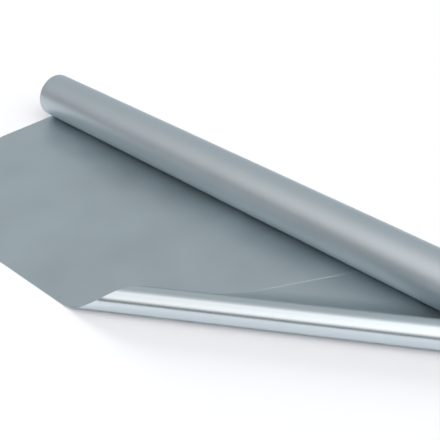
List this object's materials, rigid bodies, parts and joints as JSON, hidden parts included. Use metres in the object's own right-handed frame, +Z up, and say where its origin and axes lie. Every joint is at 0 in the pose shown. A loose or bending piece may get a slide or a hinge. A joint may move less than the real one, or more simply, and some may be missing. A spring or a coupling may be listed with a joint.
{
  "type": "metallic cellophane roll",
  "caption": "Roll of metallised film wound on a cardboard tube, lying part unrolled with one corner of the film curled over, for wrapping gifts and flowers.",
  "frame": {"origin": "on the floor, under the middle of the roll's axis", "axes": "+X along the roll towards the end nearest the viewer, the unrolled film towards -Y, +Z up"},
  "size_m": [0.7, 0.2928, 0.0577],
  "materials": {
    "metallised_film": "metallised, satin on the inner face and bright on the outer face",
    "core_board": "matt, spirally wound"
  },
  "bodies": {
    "root": {"film": "metallised_film", "core_tube": "core_board"}
  },
  "joints": []
}
